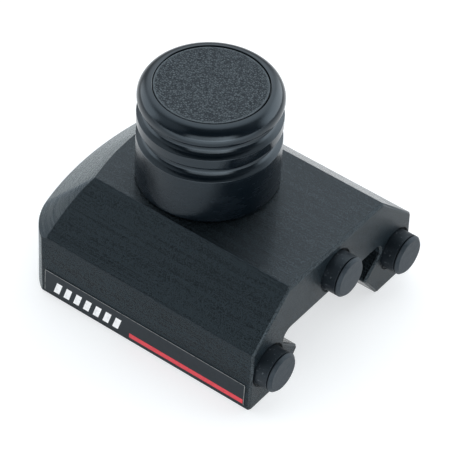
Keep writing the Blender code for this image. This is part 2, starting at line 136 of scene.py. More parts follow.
# Bumpers
BUMPER_R = 4.6
BUMPER_RIM = 0.6
BUMPER_NECK_R = 3.9
BUMPER_SLIT = (2.95, 3.2)
BUMPER_STEM = ((1.9, 4.5), (2.2, 4.5), (1.4, 6.5), (0.0, 6.5))  # radius and depth, to the barb's tip
BUMPER_SEAT_R = 5.05
BUMPER_SEAT_DEPTH = 0.9
BUMPER_SEAT_FLARE = 0.15
BUMPER_SEAT_GAP = 0.35          # left behind the rubber in its seat
BUMPER_HOLE_R = 2.55
BUMPER_HOLE_DEPTH = 7.5
BUMPER_PLACES = {"bumper_right": (-22.65, 9.5), "bumper_middle": (0.0, 19.95), "bumper_left": (22.65, 9.5)}

# Labels
LABEL_BACK_X = KNOB_X - 21.2
LABEL_LENGTH = 54.0
LABEL_LOW_Z = 1.1               # heights on the label are measured up the block's side
LABEL_HEIGHT = 5.9
LABEL_CORNER_R = 0.4
FILM = (0.01, 0.10)             # the film's two faces, out from the block's side
BORDER_INSET = 0.1
BORDER_WIDTH = 0.14
BORDER_FACE = 0.112
PRINT_FACE = 0.115
STRIPE = (23.4, 1.45, 53.6, 2.65)   # from its back lower corner to its front upper one
BARS = 7
BAR_START = 2.6
BAR_PITCH = 2.7
BAR_WIDTH = 1.5
BAR_HEIGHTS = (1.9, 4.9)
BAR_SLANT = 0.9

# Pin
PIN_R = 5.0
PIN_TIP_R = 4.0
PIN_TIP_Z = 5.6
PIN_SHOULDER_Z = 24.6
STEM_R = 3.2
STEM_TOP_Z = 45.55
RING_GROOVE_R = 4.2
RING_GROOVE_LOW_Z = 20.0
RING_GROOVE_HIGH_Z = 21.7

# Guide housing
HOUSING_TOP_Z = 44.5
HOUSING_R = 10.2
HOUSING_BORE_R = 8.2
HOUSING_FLANGE_R = 11.4
HOUSING_FLANGE_Z = 27.55
HOUSING_FLANGE_TOP_Z = 29.55
HOUSING_SHANK_R = 9.85
HOUSING_LOW_Z = 20.35
PLATE_LOW_Z = 42.1
PLATE_HOLE_R = 3.6
SLOT_HALF_X = 1.65
SLOT_HALF_Y = 5.9

# Pin bush
BUSH_BORE_R = 5.35
BUSH_R = 6.65
BUSH_LOW_Z = 14.95
BUSH_TOP_Z = 20.0
BUSH_FLANGE_R = 9.5
BUSH_FLANGE_Z = 18.35

# Spring, between the thrust washer and the housing's plate
SPRING_R = 6.6
WIRE_R = 0.6
SPRING_LOW_Z = 23.05
SPRING_TOP_Z = 41.75
SPRING_TURNS = 6
SPRING_END_PITCH = 1.55

# Camera
CAMERA_AZIMUTH = 35.514
CAMERA_ELEVATION = 43.385
CAMERA_ROLL = 3.018
CAMERA_DISTANCE = 646.77
CAMERA_OFFSET = (4.715, 8.77)
CAMERA_LENS = 237.1

# Studio. Azimuths are in degrees from the camera's side, positive to the camera's right
DAYLIGHT = (0.94, 0.99, 1.03, 1.0)
PAPER_LIGHT = (0.98, 1.0, 1.015, 1.0)
FLOOR_HALF = 2.5
FLOOR_DROP = 0.00002            # keeps the floor clear of the feet's undersides
FLOOR_FADE = (0.10, 0.34, 0.60, 0.16)   # the floor's own light: near and far distance, strength at each
POOL_AZIMUTH = 0.0
POOL_FADE = (0.07, 0.14, 0.0, 1.2)      # a brighter pool on it in front of the object, the same way
ROOM_FADE = (-0.3, 0.6, 0.45, 0.10)     # the room's light falls from the far side to the camera's side
SOFT_BOXES = (                          # azimuth, elevation, outer and inner angle of the edge, radiance
    (-112.0, 12.0, 36.0, 16.0, 1.9),
    (118.0, 10.0, 44.0, 18.0, 2.5),
    (180.0, 54.0, 46.0, 14.0, 1.56),
    (-72.0, 38.0, 32.0, 8.0, 0.45),
)
CARD_AZIMUTH = 4.0
CARD_DISTANCE = 0.29
CARD_SIZE = (0.50, 0.24)
CARD_RADIANCE = 2.7
CARD_FADES = (                          # axis, from and to as parts of the side, strength at each
    ("X", 0.0, 0.22, 0.0, 1.0),
    ("X", 0.70, 1.0, 1.0, 0.0),
    ("X", 0.3, 0.8, 0.76, 1.25),
    ("Y", 0.55, 1.0, 1.0, 0.0),
)

# Finishes. The tints colour what a black surface reflects
COOL = (0.74, 0.89, 1.0)
COOLER = (0.66, 0.87, 1.0)
REFRACTION = 1.5
MARK_CONTRAST = 0.12            # how far the tool marks change an anodised face's shine
ALONG_TRACK = (0.03, 2.2, 2.2)  # cells a millimetre in X, Y, Z, so lines along X
EVEN = (2.0, 2.0, 2.0)
ROUND_THE_END = (0.05, 0.05, 2.6)
SATIN = (0.28, 0.40)
# Copies of one anodised finish: tool lines differ where faces were cut differently, but light colour and
# shine are set apart per direction as painted light and shade
ANODISED_FACES = (              # name, tool lines, their weight, light colour, shine, roughness, tint
    ("anodised_top", ALONG_TRACK, 0.5, (0.0102, 0.0160, 0.0195), 0.372, (0.12, 0.20), COOL),
    ("anodised_extruded", ALONG_TRACK, 0.6, (0.0086, 0.0126, 0.0154), 0.355, (0.16, 0.25), COOLER),
    ("anodised_side", ALONG_TRACK, 0.5, (0.0082, 0.0165, 0.0225), 0.184, SATIN, COOLER),
    ("anodised_front", EVEN, 0.5, (0.0150, 0.0240, 0.0310), 0.215, SATIN, COOLER),
    # The front break's paler colour is a painted highlight along the block's front edges
    ("anodised_break", EVEN, 0.5, (0.0350, 0.0430, 0.0485), 0.36, SATIN, COOLER),
)
PAINTED_CREASE_RISE = (-0.0004, 0.0006)  # the bevel's crease, painted as a band of shade in its reflection, in metres past the bow's end: where it starts
PAINTED_CREASE_FALL = (0.0006, 0.0052)   # and where it fades out
BLOCK_MATERIALS = ("anodised_extruded", "anodised_milled", "anodised_front", "anodised_edge",
                   "anodised_side", "anodised_top", "anodised_break")


# ---------------------------------------------------------------- shapes

def arc(centre, radius, start, end, steps):
    """Points on an arc, with angles in degrees."""
    points = []
    for i in range(steps + 1):
        angle = math.radians(start + (end - start) * i / steps)
        points.append((centre[0] + radius * math.cos(angle), centre[1] + radius * math.sin(angle)))
    return points


def rounded(corners, steps=4, closed=False):
    """Points of a profile given as (x, y) or (x, y, radius) corners, each rounded to its radius."""
    points = []
    count = len(corners)
    for i, corner in enumerate(corners):
        here = Vector(corner[:2])
        is_end = not closed and i in (0, count - 1)
        if len(corner) == 2 or is_end:
            points.append(tuple(here))
            continue
        before = Vector(corners[i - 1][:2]) - here
        after = Vector(corners[(i + 1) % count][:2]) - here
        half = before.angle(after) / 2
        reach = min(corner[2] / math.tan(half), before.length * 0.48, after.length * 0.48)
        radius = reach * math.tan(half)
        centre = here + (before.normalized() + after.normalized()).normalized() * (radius / math.sin(half))
        first = here + before.normalized() * reach - centre
        last = here + after.normalized() * reach - centre
        start = math.atan2(first.y, first.x)
        turn = math.remainder(math.atan2(last.y, last.x) - start, math.tau)
        for k in range(steps + 1):
            angle = start + turn * k / steps
            points.append((centre.x + radius * math.cos(angle), centre.y + radius * math.sin(angle)))
    return points


def new_object(name, data):
    """An object in the scene from a mesh, a light or a camera."""
    obj = bpy.data.objects.new(name, data)
    bpy.context.scene.collection.objects.link(obj)
    return obj


def smooth(obj, angle=32):
    """Smooth shading with sharp edges past an angle, and normals that keep the flat faces flat."""
    obj.data.shade_smooth()
    obj.data.set_sharp_from_angle(angle=math.radians(angle))
    weighted = obj.modifiers.new("Weighted normals", "WEIGHTED_NORMAL")
    weighted.keep_sharp = True
    return obj


def turned(name, profile, flats, closed=False):
    """A solid turned about its own Z. The profile holds (radius, z) points, down the outer side."""
    verts = []
    rings = []
    for radius, z in profile:
        if radius < 1e-6:
            rings.append([len(verts)])
            verts.append((0.0, 0.0, z * MM))
            continue
        rings.append(list(range(len(verts), len(verts) + flats)))
        for i in range(flats):
            angle = math.tau * i / flats
            verts.append((radius * MM * math.cos(angle), radius * MM * math.sin(angle), z * MM))
    pairs = list(zip(rings, rings[1:]))
    if closed:
        pairs.append((rings[-1], rings[0]))
    faces = []
    for upper, lower in pairs:
        for i in range(flats):
            j = (i + 1) % flats
            face = [upper[i % len(upper)], lower[i % len(lower)],
                    lower[j % len(lower)], upper[j % len(upper)]]
            faces.append(list(dict.fromkeys(face)))
    mesh = bpy.data.meshes.new(name)
    mesh.from_pydata(verts, [], faces)
    mesh.validate()
    return smooth(new_object(name, mesh))


def applied(obj, helpers=()):
    """The object with its modifiers made into its mesh, and its helpers gone."""
    evaluated = obj.evaluated_get(bpy.context.evaluated_depsgraph_get())
    mesh = bpy.data.meshes.new_from_object(evaluated)
    obj.modifiers.clear()
    obj.data = mesh
    for helper in helpers:
        bpy.data.objects.remove(helper, do_unlink=True)
    return obj


def merge_close(mesh, distance):
    """Join points closer than a distance in millimetres, so that a bevel of that size stays clean."""
    bm = bmesh.new()
    bm.from_mesh(mesh)
    bmesh.ops.remove_doubles(bm, verts=bm.verts, dist=distance * MM)
    bmesh.ops.dissolve_degenerate(bm, edges=bm.edges, dist=distance * MM * 0.1)
    bm.to_mesh(mesh)
    bm.free()


def combine(obj, other, operation="DIFFERENCE"):
    """Cut the object with a helper, or keep what both share. The helper goes when it is applied."""
    boolean = obj.modifiers.new(other.name, "BOOLEAN")
    boolean.operation = operation
    boolean.solver = "EXACT"
    boolean.object = other
    other.hide_render = True
    return other


def at(obj, x, y=0.0):
    """Move a piece, in millimetres."""
    obj.location = Vector((x, y, 0.0)) * MM
    return obj


def along_x(obj, x, y, z):
    """Lay a piece that was turned about Z along +X, from a point."""
    obj.matrix_world = Matrix.Translation(Vector((x, y, z)) * MM) @ Matrix.Rotation(math.pi / 2, 4, "Y")
    return obj


def placed(obj, body, slot, *nodes):
    """The piece rides on its body and stands for its CAD nodes. Its slot is not used."""
    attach(obj, body)
    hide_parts(*nodes)
    return obj


# ---------------------------------------------------------------- block

def section_half():
    """Right half of the block's section as (y, z), from the top's edge round to the ceiling."""
    lip_angle = math.degrees(math.atan2(LIP_TOP_Z - LIP_Z, CHANNEL_HALF - LIP_HALF))
    mouth_angle = math.degrees(math.atan2(LIP_Z, MOUTH_HALF - LIP_HALF))
    points = [(TOP_HALF, BLOCK_HEIGHT), (SHOULDER_HALF, SHOULDER_Z)]
    points += arc((FOOT_HALF - CORNER_R, CORNER_R), CORNER_R, 0, -90, 3)
    points.append((MOUTH_HALF, 0.0))
    points += arc((LIP_HALF + LIP_R, LIP_Z), LIP_R, 270 - mouth_angle, 90 + lip_angle, 5)
    points.append((CHANNEL_HALF, LIP_TOP_Z))
    corner = (CHANNEL_HALF - CHANNEL_CORNER_R, CEILING_Z - CHANNEL_CORNER_R)
    points += arc(corner, CHANNEL_CORNER_R, 0, 90, 7)
    return points


def bow_corner():
    """Where the back end's corner arcs have their centre, and the angle where they run into its bow."""
    back = math.sqrt((BOW_R - BOW_CORNER_R) ** 2 - BOW_CORNER_Y ** 2)
    return BACK_X + BOW_R - back, math.degrees(math.atan2(BOW_CORNER_Y, back))


def plan_ring(inset, z):
    """The block's plan outline at one height, moved in from the back end's foot by the inset."""
    bow = BOW_R - inset
    corner = BOW_CORNER_R - inset
    bow_x = BACK_X + BOW_R
    corner_x, turn = bow_corner()
    points = arc((corner_x, BOW_CORNER_Y), corner, 90, 180 - turn, 28)
    points += arc((bow_x, 0.0), bow, 180 - turn, 180 + turn, 36)[1:-1]
    points += arc((corner_x, -BOW_CORNER_Y), corner, 180 + turn, 270, 28)
    side = BOW_CORNER_Y + corner
    points += [(FRONT_X + CUT_SPARE, -side), (FRONT_X + CUT_SPARE, side)]
    return [Vector((x, y, z)) * MM for x, y in points]


def lofted(name, rings):
    """A closed solid through rings of points that match one to one."""
    bm = bmesh.new()
    loops = [[bm.verts.new(point) for point in ring] for ring in rings]
    for low, high in zip(loops, loops[1:]):
        for i in range(len(low)):
            j = (i + 1) % len(low)
            bm.faces.new((low[i], low[j], high[j], high[i]))
    bm.faces.new(loops[0])
    bm.faces.new(loops[-1])
    bmesh.ops.recalc_face_normals(bm, faces=bm.faces)
    mesh = bpy.data.meshes.new(name)
    bm.to_mesh(mesh)
    bm.free()
    return new_object(name, mesh)


def mark_front(mesh):
    """Bevel weights round the front outline: whole along the top, half elsewhere."""
    weights = mesh.attributes.new("bevel_weight_edge", "FLOAT", "EDGE")
    for edge in mesh.edges:
        ends = [mesh.vertices[i].co for i in edge.vertices]
        if all(end.x > (FRONT_X - NEAR) * MM for end in ends):
            on_top = all(end.z > (BLOCK_HEIGHT - NEAR) * MM for end in ends)
            weights.data[edge.index].value = 1.0 if on_top else 0.5


def mark_edges(mesh):
    """Bevel weights on the block's long edges and round its milled end, not on its front or in its bore."""
    bm = bmesh.new()
    bm.from_mesh(mesh)
    layers = bm.edges.layers.float
    layer = layers.get("bevel_weight_edge") or layers.new("bevel_weight_edge")
    for edge in bm.edges:
        ends = [vert.co / MM for vert in edge.verts]
        at_front = all(end.x > FRONT_X - FRONT_BREAK - NEAR for end in ends)
        in_bore = all(math.hypot(end.x - KNOB_X, end.y) < BORE_R + BORE_SPARE for end in ends)
        is_sharp = len(edge.link_faces) == 2 and edge.calc_face_angle() > math.radians(SHARP_ANGLE)
        edge[layer] = 1.0 if is_sharp and not at_front and not in_bore else 0.0
    bm.to_mesh(mesh)
    bm.free()


def bumper_seat(name, y, z):
    """The cutter for a bumper's seat and the hole for its stem."""
    mouth_r = BUMPER_SEAT_R + BUMPER_SEAT_FLARE + CUT_SPARE
    profile = [(0.0, CUT_SPARE), (mouth_r, CUT_SPARE), (BUMPER_SEAT_R, -BUMPER_SEAT_FLARE),
               (BUMPER_SEAT_R, -BUMPER_SEAT_DEPTH), (BUMPER_HOLE_R, -BUMPER_SEAT_DEPTH),
               (BUMPER_HOLE_R, -BUMPER_HOLE_DEPTH), (0.0, -BUMPER_HOLE_DEPTH)]
    return along_x(turned(name, profile, SEAT_FLATS), FRONT_X, y, z)


def face_material(normal):
    """The block's material for a face, by the way the face looks. Backwards is the milled end. The other
    materials are copies of one anodised finish, coloured and made to shine apart to paint in the light and
    shade that each direction of face shows.
    """
    if normal.x < -0.02:
        return "anodised_milled"
    if normal.x > 0.95:
        return "anodised_front"
    if normal.x > 0.2:
        return "anodised_break"
    if abs(normal.y) > 0.9:
        return "anodised_side"
    if normal.z > 0.9:
        return "anodised_top"
    return "anodised_extruded"


def make_body():
    right = section_half()
    section = right + [(-y, z) for y, z in reversed(right)]
    ends = (BACK_X - 2 * CUT_SPARE, FRONT_X)
    body = lofted("block", [[Vector((x, y, z)) * MM for y, z in section] for x in ends])
    mark_front(body.data)
    front = body.modifiers.new("Front break", "BEVEL")
    front.limit_method = "WEIGHT"
    front.width = FRONT_BREAK * MM
    front.segments = 1
    top = BLOCK_HEIGHT + CUT_SPARE
    levels = [(0.0, -CUT_SPARE), (0.0, BEVEL_Z), ((top - BEVEL_Z) * BEVEL_RUN, top)]
    helpers = [combine(body, lofted("plan", [plan_ring(*level) for level in levels]), "INTERSECT")]
    bore = [(0.0, top), (BORE_R, top), (BORE_R, BORE_STEP_Z), (BUSH_SEAT_R, BORE_STEP_Z),
            (BUSH_SEAT_R, BORE_LOW_Z), (0.0, BORE_LOW_Z)]
    helpers.append(combine(body, at(turned("roof_bore", bore, PIN_FLATS), KNOB_X)))
    for name, (y, z) in BUMPER_PLACES.items():
        helpers.append(combine(body, bumper_seat(name + "_seat", y, z)))
    bpy.context.view_layer.update()
    applied(body, helpers)
    merge_close(body.data, MERGE)
    mark_edges(body.data)
    # The edge material's paler patches are partly wear and partly a painted highlight along the rounded
    # edges
    worn = BLOCK_MATERIALS.index("anodised_edge")
    edges = body.modifiers.new("Edges", "BEVEL")
    edges.limit_method = "WEIGHT"
    edges.width = EDGE_R * MM
    edges.segments = 2
    edges.material = worn
    for name in BLOCK_MATERIALS:
        body.data.materials.append(MATERIALS[name])
    bpy.context.view_layer.update()
    applied(body)
    for face in body.data.polygons:
        if face.material_index != worn:
            face.material_index = BLOCK_MATERIALS.index(face_material(face.normal))
    smooth(body, 30)
    return placed(body, "block", "anodised_block", "body")


# ---------------------------------------------------------------- labels

def side_plane(side):
    """Places a piece on a side face: local X along the block, local Y up the face, local Z outwards."""
    lean = math.atan2(FOOT_HALF - SHOULDER_HALF, SHOULDER_Z)
    foot = Vector((0.0, side * FOOT_HALF * MM, 0.0))
    outward = Vector((0.0, side * math.cos(lean), math.sin(lean)))
    up = Vector((0.0, -side * math.sin(lean), math.cos(lean)))
    along = up.cross(outward)
    return Matrix.Translation(foot) @ Matrix((along, up, outward)).transposed().to_4x4(), along.x


def add_tile(bm, outline, low, high, slot):
    """A flat closed tile in a mesh, from an outline of (x, y) points."""
    rings = [[bm.verts.new(Vector((x, y, z)) * MM) for x, y in outline] for z in (low, high)]
    faces = [bm.faces.new(rings[1]), bm.faces.new(list(reversed(rings[0])))]
    count = len(outline)
    for i in range(count):
        j = (i + 1) % count
        faces.append(bm.faces.new((rings[0][i], rings[0][j], rings[1][j], rings[1][i])))
    for face in faces:
        face.material_index = slot


def rectangle(x0, y0, x1, y1, slant=0.0):
    """A rectangle's corners, its upper side moved along by the slant."""
    return [(x0, y0), (x1, y0), (x1 + slant, y1), (x0 + slant, y1)]


def make_label(name, side):
    """A thin film with a pale border line, a red stripe and a row of plain slanted bars."""
    plane, direction = side_plane(side)
    bm = bmesh.new()
    x1 = LABEL_LENGTH
    y0 = LABEL_LOW_Z
    y1 = LABEL_LOW_Z + LABEL_HEIGHT
    outline = [(0.0, y0), (x1, y0), (x1, y1), (0.0, y1)]
    add_tile(bm, rounded([(*corner, LABEL_CORNER_R) for corner in outline], closed=True), *FILM, 0)
    outer = BORDER_INSET
    inner = BORDER_INSET + BORDER_WIDTH
    border = [rectangle(outer, y1 - inner, x1 - outer, y1 - outer),
              rectangle(outer, y0 + outer, inner, y1 - inner),
              rectangle(x1 - inner, y0 + outer, x1 - outer, y1 - inner)]
    for outline in border:
        add_tile(bm, outline, FILM[1], BORDER_FACE, 1)
    add_tile(bm, rectangle(*STRIPE), FILM[1], PRINT_FACE, 2)
    low, high = BAR_HEIGHTS
    for i in range(BARS):
        start = BAR_START + i * BAR_PITCH
        add_tile(bm, rectangle(start, low, start + BAR_WIDTH, high, BAR_SLANT), FILM[1], PRINT_FACE, 3)
    if direction < 0:
        bmesh.ops.scale(bm, vec=(-1.0, 1.0, 1.0), verts=bm.verts)
        bmesh.ops.reverse_faces(bm, faces=bm.faces)
    bmesh.ops.translate(bm, vec=(LABEL_BACK_X * direction * MM, 0.0, 0.0), verts=bm.verts)
    mesh = bpy.data.meshes.new(name)
    bm.to_mesh(mesh)
    bm.free()
    label = new_object(name, mesh)
    for slot in ("label_film", "label_line", "label_red", "label_white"):
        mesh.materials.append(MATERIALS[slot])
    label.matrix_world = plane
    return placed(label, "block", "side_label", "side_" + name)


# ---------------------------------------------------------------- bumpers

def make_bumper(node, y, z):
    """A cap on a base, parted by a fine slit, with the barbed stem behind them."""
    slit_low, slit_high = BUMPER_SLIT
    back = -BUMPER_SEAT_DEPTH + BUMPER_SEAT_GAP
    stem = [(radius, -depth) for radius, depth in BUMPER_STEM]
    profile = rounded([
        (0.0, BUMPER_PROUD), (BUMPER_R - BUMPER_RIM, BUMPER_PROUD, 0.35),
        (BUMPER_R, BUMPER_PROUD - BUMPER_RIM, 0.25), (BUMPER_R, slit_high, 0.1),
        (BUMPER_NECK_R, slit_high), (BUMPER_NECK_R, slit_low), (BUMPER_R, slit_low, 0.1),
        (BUMPER_R, back, 0.1), (stem[0][0], back), *stem])
    bumper = along_x(turned(node + "_cap", profile, PIN_FLATS), FRONT_X, y, z)
    bumper.data.materials.append(MATERIALS["rubber_base"])
    bumper.data.materials.append(MATERIALS["rubber_cap"])
    for face in bumper.data.polygons:
        face.material_index = int(face.center.z > slit_high * MM)
    return placed(bumper, "block", "bumper_rubber", node)


# ---------------------------------------------------------------- knob

def groove(middle_z):
    """A finger groove's round hollow as (radius, z) points, downwards."""
    radius = (GROOVE_HALF ** 2 + GROOVE_DEPTH ** 2) / (2 * GROOVE_DEPTH)
    centre = (KNOB_R - GROOVE_DEPTH + radius, middle_z)
    spread = math.degrees(math.asin(GROOVE_HALF / radius))
    return arc(centre, radius, 180 - spread, 180 + spread, 16)


def make_knob():
    out, down = INSERT_SEAT_EDGE
    corners = [(INSERT_SEAT_R, KNOB_TOP_Z - down), (INSERT_SEAT_R + out, KNOB_TOP_Z)]
    corners += arc((KNOB_R - RIM_R, KNOB_TOP_Z - RIM_R), RIM_R, RIM_START, 0, 20)
    for middle_z in GROOVE_Z:
        corners += lip_rounded(groove(middle_z))
    corners += arc((KNOB_R - SKIRT_EDGE_R, SKIRT_Z + SKIRT_EDGE_R), SKIRT_EDGE_R, 0, -90, 5)
    corners += [(SKIRT_BORE_R, SKIRT_Z), (SKIRT_BORE_R, SKIRT_ROOF_Z), (SHANK_R, SKIRT_ROOF_Z),
                (SHANK_R, SCREW_SEAT_Z), (SCREW_SEAT_R, SCREW_SEAT_Z), (SCREW_SEAT_R, INSERT_SEAT_Z),
                (INSERT_SEAT_R, INSERT_SEAT_Z)]
    knob = at(turned("pull_knob", corners, KNOB_FLATS, closed=True), KNOB_X)
    knob.data.materials.append(MATERIALS["knob_black"])
    return placed(knob, "plunger", "black_knob", "knob")


def lip_rounded(points):
    """A groove's points, with the outer corners where it meets the knob's side rounded."""
    above = (points[0][0], points[0][1] + 1.0)
    below = (points[-1][0], points[-1][1] - 1.0)
    corners = [above, (*points[0], GROOVE_LIP_R)] + points[3:-3] + [(*points[-1], GROOVE_LIP_R), below]
    return rounded(corners, 5)[1:-1]


def grain_height(x, y):
    """Pebble grain: rounded grains with narrow valleys between them, uneven in height."""
    place = Vector((x, y, 0.0)) / GRAIN_SIZE
    near, next_near = noise.voronoi(place)[0][:2]
    pebble = min(1.0, (next_near - near) * GRAIN_SLOPE)
    swell = sum(noise.noise(place * rate) * size for rate, size in GRAIN_SWELLS)
    return GRAIN_DEPTH * (pebble * (GRAIN_LEVEL + swell) - 0.5)


def make_insert():
    """A round plate whose top is a fine grid with the grain pushed into it."""
    steps = INSERT_STEPS
    plate_r = INSERT_R - INSERT_BORDER
    bm = bmesh.new()
    grid = []
    for j in range(steps + 1):
        row = []
        v = 2.0 * j / steps - 1.0
        for i in range(steps + 1):
            u = 2.0 * i / steps - 1.0
            x = plate_r * u * math.sqrt(1.0 - v * v / 2.0)
            y = plate_r * v * math.sqrt(1.0 - u * u / 2.0)
            edge = min(1.0, (plate_r - math.hypot(x, y)) / GRAIN_FADE)
            z = INSERT_TOP_Z - GRAIN_DEPTH / 2 + grain_height(x, y) * edge
            row.append(bm.verts.new((x * MM, y * MM, z * MM)))
        grid.append(row)
    for j in range(steps):
        for i in range(steps):
            bm.faces.new((grid[j][i], grid[j][i + 1], grid[j + 1][i + 1], grid[j + 1][i]))
    ring = [grid[0][i] for i in range(steps)] + [grid[j][steps] for j in range(steps)]
    ring += [grid[steps][i] for i in range(steps, 0, -1)] + [grid[j][0] for j in range(steps, 0, -1)]
    rim = [(INSERT_R - inwards, INSERT_TOP_Z - down) for inwards, down in INSERT_RIM]
    rim.append((INSERT_R, INSERT_LOW_Z))
    for radius, z in rim:
        lower = []
        for vert in ring:
            out = Vector((vert.co.x, vert.co.y, 0.0)).normalized() * radius * MM
            lower.append(bm.verts.new((out.x, out.y, z * MM)))
        for i in range(len(ring)):
            j = (i + 1) % len(ring)
            bm.faces.new((ring[j], ring[i], lower[i], lower[j]))
        ring = lower
    bm.faces.new(list(reversed(ring)))
    mesh = bpy.data.meshes.new("grained_disc")
    bm.to_mesh(mesh)
    bm.free()
    disc = at(new_object("grained_disc", mesh), KNOB_X + INSERT_SHIFT[0], INSERT_SHIFT[1])
    disc.data.shade_smooth()
    disc.data.set_sharp_from_angle(angle=math.radians(60))
    disc.data.materials.append(MATERIALS["insert_grain"])
    return placed(disc, "plunger", "grained_insert", "knob_insert")


# ---------------------------------------------------------------- pin and its guide

def make_pin():
    profile = rounded([
        (0.0, STEM_TOP_Z), (STEM_R, STEM_TOP_Z, 0.4), (STEM_R, PIN_SHOULDER_Z),
        (PIN_R, PIN_SHOULDER_Z, 0.15), (PIN_R, RING_GROOVE_HIGH_Z), (RING_GROOVE_R, RING_GROOVE_HIGH_Z),
        (RING_GROOVE_R, RING_GROOVE_LOW_Z), (PIN_R, RING_GROOVE_LOW_Z),
        (PIN_R, PIN_TIP_Z + PIN_R - PIN_TIP_R, 0.5), (PIN_TIP_R, PIN_TIP_Z, 0.4), (0.0, PIN_TIP_Z)])
    pin = at(turned("pin", profile, PIN_FLATS), KNOB_X)
    pin.data.materials.append(MATERIALS["stainless"])
    return placed(pin, "plunger", "stainless_steel", "plunger_pin")


def make_housing():
    corners = [(PLATE_HOLE_R, HOUSING_TOP_Z, 0.15), (HOUSING_R, HOUSING_TOP_Z, 0.5),
               (HOUSING_R, HOUSING_FLANGE_TOP_Z, 0.2), (HOUSING_FLANGE_R, HOUSING_FLANGE_TOP_Z, 0.25),
               (HOUSING_FLANGE_R, HOUSING_FLANGE_Z, 0.1), (HOUSING_SHANK_R, HOUSING_FLANGE_Z),
               (HOUSING_SHANK_R, HOUSING_LOW_Z), (HOUSING_BORE_R, HOUSING_LOW_Z),
               (HOUSING_BORE_R, PLATE_LOW_Z), (PLATE_HOLE_R, PLATE_LOW_Z)]
    profile = rounded(corners, closed=True)
    housing = at(turned("spring_housing", profile, HOUSING_FLATS, closed=True), KNOB_X)
    outline = rectangle(KNOB_X - SLOT_HALF_X, -SLOT_HALF_Y, KNOB_X + SLOT_HALF_X, SLOT_HALF_Y)
    heights = (PLATE_LOW_Z - CUT_SPARE, HOUSING_TOP_Z + CUT_SPARE)
    slot = lofted("cross_slot", [[Vector((x, y, z)) * MM for x, y in outline] for z in heights])
    helpers = [combine(housing, slot)]
    bpy.context.view_layer.update()
    applied(housing, helpers)
    housing.data.materials.append(MATERIALS["housing_black"])
    smooth(housing)
    return placed(housing, "block", "housing_aluminium", "guide_housing")


def make_bush():
    corners = [(BUSH_BORE_R, BUSH_TOP_Z, 0.2), (BUSH_FLANGE_R, BUSH_TOP_Z, 0.2),
               (BUSH_FLANGE_R, BUSH_FLANGE_Z, 0.1), (BUSH_R, BUSH_FLANGE_Z), (BUSH_R, BUSH_LOW_Z, 0.2),
               (BUSH_BORE_R, BUSH_LOW_Z, 0.3)]
    bush = at(turned("bush", rounded(corners, closed=True), PIN_FLATS, closed=True), KNOB_X)
    bush.data.materials.append(MATERIALS["bush_white"])
    return placed(bush, "block", "bush_plastic", "pin_bush")


def make_spring():
    """A coil with close end turns, swept as a round wire."""
    foot = SPRING_LOW_Z + WIRE_R
    head = SPRING_TOP_Z - WIRE_R
    open_turns = SPRING_TURNS - 2
    open_pitch = (head - foot - 2 * SPRING_END_PITCH) / open_turns
    steps = 48
    sides = 14
    bm = bmesh.new()
    rings = []
    for i in range(SPRING_TURNS * steps + 1):
        t = i / steps
        rise = SPRING_END_PITCH * min(t, 1.0) + open_pitch * min(max(t - 1.0, 0.0), open_turns)
        rise += SPRING_END_PITCH * max(t - 1.0 - open_turns, 0.0)
        out = Vector((math.cos(t * math.tau), math.sin(t * math.tau), 0.0))
        centre = out * SPRING_R + Vector((0.0, 0.0, foot + rise))
        ring = []
        for k in range(sides):
            angle = math.tau * k / sides
            point = centre + out * (WIRE_R * math.cos(angle)) + Vector((0.0, 0.0, WIRE_R * math.sin(angle)))
            ring.append(bm.verts.new(point * MM))
        rings.append(ring)
    for ring, following in zip(rings, rings[1:]):
        for k in range(sides):
            m = (k + 1) % sides
            bm.faces.new((ring[k], ring[m], following[m], following[k]))
    bm.faces.new(list(reversed(rings[0])))
    bm.faces.new(rings[-1])
    bmesh.ops.recalc_face_normals(bm, faces=bm.faces)
    mesh = bpy.data.meshes.new("coil_spring")
    bm.to_mesh(mesh)
    bm.free()
    spring = at(new_object("coil_spring", mesh), KNOB_X)
    mesh.shade_smooth()
    mesh.set_sharp_from_angle(angle=math.radians(50))
    mesh.materials.append(MATERIALS["spring_wire"])
    placed(spring, "block", "spring_steel", "spring")
    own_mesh(spring)
    return spring


# ---------------------------------------------------------------- materials

def map_range(tree, value, low, high, to_low=0.0, to_high=1.0):
    """A smooth step from one range of values to another."""
    node = tree.nodes.new("ShaderNodeMapRange")
    node.interpolation_type = "SMOOTHSTEP"
    for index, number in enumerate((low, high, to_low, to_high), start=1):
        node.inputs[index].default_value = number
    tree.links.new(value, node.inputs["Value"])
    return node.outputs["Result"]


def calculated(tree, operation, first, second=None):
    """The result of one operation on one or two outputs."""
    node = tree.nodes.new("ShaderNodeMath")
    node.operation = operation
    tree.links.new(first, node.inputs[0])
    if second is not None:
        tree.links.new(second, node.inputs[1])
    return node.outputs["Value"]


